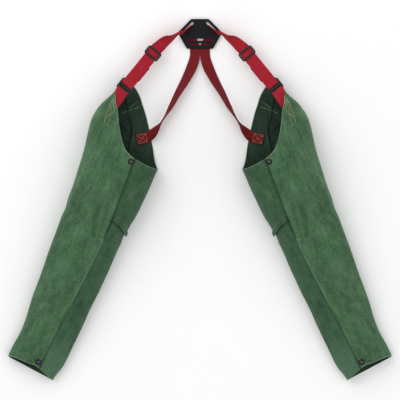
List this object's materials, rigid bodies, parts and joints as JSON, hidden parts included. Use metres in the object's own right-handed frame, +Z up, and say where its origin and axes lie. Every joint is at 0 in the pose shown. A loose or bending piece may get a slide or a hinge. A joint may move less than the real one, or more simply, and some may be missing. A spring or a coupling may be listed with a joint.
{
  "type": "welding sleeves",
  "caption": "Pair of split-leather welding sleeves laid flat, hung by webbing straps with sliders and rings from a moulded back plate.",
  "frame": {"origin": "bottom centre of the laid-out pair", "axes": "+Z up from the bench, +Y towards the back plate, +X towards the wearer's side drawn on the right; X = 0 is the plane of symmetry"},
  "size_m": [0.7676, 0.724, 0.0899],
  "materials": {
    "split_leather": "matt suede",
    "underarm_leather": "matt suede",
    "strap_webbing": "woven",
    "lower_webbing": "woven",
    "moulded_plate": "matt",
    "moulded_buckle": "satin",
    "blackened_rivet": "satin black",
    "stitching_thread": "twisted thread"
  },
  "bodies": {
    "harness": {"back_plate": "moulded_plate", "left_yoke_strap": "lower_webbing", "right_yoke_strap": "lower_webbing"},
    "left_upper_arm": {"left_outer_panel": "split_leather", "left_upper_underarm": "split_leather", "left_upper_strap": "strap_webbing", "left_anchor_tab": "strap_webbing", "left_lower_strap": "lower_webbing", "left_strap_under_layer": "strap_webbing", "left_armhole_rivet": "blackened_rivet", "left_armhole_rivet_burr": "blackened_rivet"},
    "left_forearm": {"left_outer_panel_forearm": "split_leather", "left_lower_underarm": "underarm_leather", "left_cuff_rivet": "blackened_rivet", "left_cuff_rivet_burr": "blackened_rivet"},
    "left_strap_slider": {"left_slider": "moulded_buckle"},
    "left_ring_link": {"left_ring": "moulded_buckle", "left_strap_end_loop": "strap_webbing"},
    "right_upper_arm": {"right_outer_panel": "split_leather", "right_upper_underarm": "split_leather", "right_upper_strap": "strap_webbing", "right_anchor_tab": "strap_webbing", "right_lower_strap": "lower_webbing", "right_strap_under_layer": "strap_webbing", "right_armhole_rivet": "blackened_rivet", "right_armhole_rivet_burr": "blackened_rivet"},
    "right_forearm": {"right_outer_panel_forearm": "split_leather", "right_lower_underarm": "underarm_leather", "right_cuff_rivet": "blackened_rivet", "right_cuff_rivet_burr": "blackened_rivet"},
    "right_strap_slider": {"right_slider": "moulded_buckle"},
    "right_ring_link": {"right_ring": "moulded_buckle", "right_strap_end_loop": "strap_webbing"}
  },
  "joints": [
    {"name": "left_swing", "type": "hinge", "parent": "harness", "child": "left_upper_arm", "pos_m": [-0.0435, 0.3306, 0.018], "axis": [0, 0, -1], "range_deg": [-14, 12], "deforming": ["left_lower_strap"]},
    {"name": "left_elbow", "type": "hinge", "parent": "left_upper_arm", "child": "left_forearm", "pos_m": [-0.21201, -0.03824, 0.03], "axis": [0, 0, 1], "range_deg": [0, 15]},
    {"name": "left_slider_travel", "type": "slide", "parent": "left_upper_arm", "child": "left_strap_slider", "axis": [-0.6245, -0.7694, 0.1344], "range_m": [0, 0.03], "deforming": ["left_strap_under_layer"]},
    {"name": "left_ring_pivot", "type": "hinge", "parent": "left_upper_arm", "child": "left_ring_link", "pos_m": [-0.15569, 0.21685, 0.03721], "axis": [-0.7764, 0.6302, 0], "range_deg": [-20, 20]},
    {"name": "right_swing", "type": "hinge", "parent": "harness", "child": "right_upper_arm", "pos_m": [0.0435, 0.3306, 0.018], "axis": [0, 0, 1], "range_deg": [-14, 12], "deforming": ["right_lower_strap"]},
    {"name": "right_elbow", "type": "hinge", "parent": "right_upper_arm", "child": "right_forearm", "pos_m": [0.21201, -0.03824, 0.03], "axis": [0, 0, -1], "range_deg": [0, 15]},
    {"name": "right_slider_travel", "type": "slide", "parent": "right_upper_arm", "child": "right_strap_slider", "axis": [0.6245, -0.7694, 0.1344], "range_m": [0, 0.03], "deforming": ["right_strap_under_layer"]},
    {"name": "right_ring_pivot", "type": "hinge", "parent": "right_upper_arm", "child": "right_ring_link", "pos_m": [0.15569, 0.21685, 0.03721], "axis": [0.7764, 0.6302, 0], "range_deg": [-20, 20]}
  ]
}
